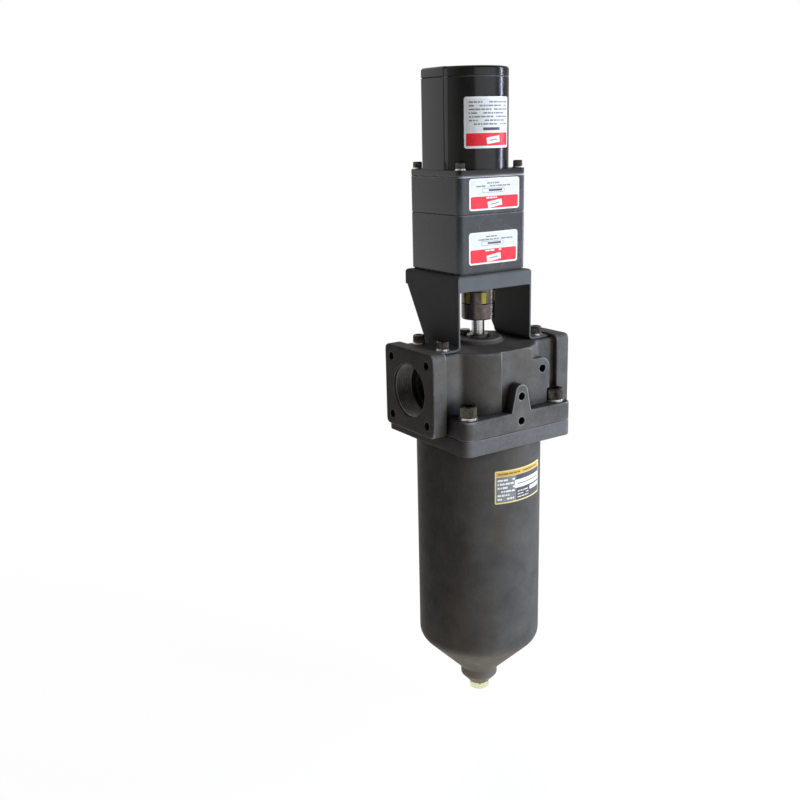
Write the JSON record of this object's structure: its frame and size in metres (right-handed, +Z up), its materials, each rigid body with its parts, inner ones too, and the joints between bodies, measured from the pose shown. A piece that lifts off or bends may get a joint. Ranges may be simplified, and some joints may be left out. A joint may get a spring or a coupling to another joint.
{
  "type": "automatic line filter",
  "caption": "Motor-driven in-line filter: flanged head casting, bolted bowl with drain, gear motor on a bracket turning a wedge-wire element past a fixed scraper.",
  "frame": {"origin": "centre of the inlet flange's sealing face", "axes": "+X along the flow from inlet to outlet, +Z up along the filter axis towards the motor, -Y the front face with the lug and the instrument pad"},
  "size_m": [0.188, 0.148, 0.7155],
  "materials": {
    "motor_paint": "dark grey stoved paint, semi-gloss",
    "gearhead_paint": "dark grey stoved paint on die casting",
    "bracket_paint": "dark grey paint on folded plate",
    "cast_iron_paint": "matt dark grey paint on cast iron",
    "bowl_paint": "matt dark grey paint on cast iron",
    "black_steel": "black oxide",
    "zinc_steel": "bright zinc plate",
    "bright_steel": "ground",
    "coupling_steel": "turned sintered steel",
    "yellow_polyurethane": "moulded polyurethane",
    "bronze": "turned bearing bronze",
    "brass_gland": "turned brass",
    "black_rubber": "moulded nitrile",
    "copper_seal": "soft copper",
    "ptfe": "turned PTFE",
    "stainless": "drawn stainless steel",
    "cast_aluminium": "die cast and turned",
    "carrier_iron": "cast",
    "blade_steel": "hardened strip"
  },
  "bodies": {
    "housing": {"motor_housing": "motor_paint", "motor_end_cover": "motor_paint", "motor_flange": "motor_paint", "motor_screws": "black_steel", "motor_head_washers": "zinc_steel", "motor_screw_washers": "zinc_steel", "motor_screw_nuts": "zinc_steel", "extra_gearhead_case": "gearhead_paint", "gearhead_case": "gearhead_paint", "output_bearing_outer": "bright_steel", "output_bearing_balls": "bright_steel", "output_oil_seal": "black_rubber", "motor_bracket": "bracket_paint", "bracket_bolts": "black_steel", "bracket_washers": "zinc_steel", "head_casting": "cast_iron_paint", "shaft_bush": "bronze", "shaft_seals": "black_rubber", "shaft_gland": "brass_gland", "vent_screw": "zinc_steel", "head_o_ring": "black_rubber", "head_bolts": "black_steel", "head_bolt_washers": "zinc_steel", "bowl": "bowl_paint", "drain_seal": "copper_seal", "tie_rods": "stainless", "bottom_carrier": "carrier_iron", "foot_bush": "bronze", "tie_washers": "zinc_steel", "tie_nuts": "zinc_steel", "scraper_holder": "stainless", "scraper_blade": "blade_steel", "scraper_screws": "stainless"},
    "rotor": {"output_shaft": "bright_steel", "output_shaft_key": "bright_steel", "output_bearing_inner": "bright_steel", "coupling_upper_hub": "coupling_steel", "coupling_spider": "yellow_polyurethane", "coupling_lower_hub": "coupling_steel", "coupling_set_screws": "black_steel", "drive_shaft": "bright_steel", "drive_shaft_key": "bright_steel", "element_top_cap": "cast_aluminium", "element_neck_seal": "ptfe", "element_wires": "stainless", "element_rods": "stainless", "element_bottom_cap": "cast_aluminium", "element_washer": "zinc_steel", "element_nut": "zinc_steel"},
    "plug": {"drain_plug": "zinc_steel"}
  },
  "joints": [
    {"name": "rotor_spin", "type": "hinge", "parent": "housing", "child": "rotor", "pos_m": [0.094, 0, 0], "axis": [0, 0, 1], "continuous": true},
    {"name": "plug_draw", "type": "slide", "parent": "housing", "child": "plug", "axis": [0, 0, -1], "range_m": [0, 0.02]}
  ]
}
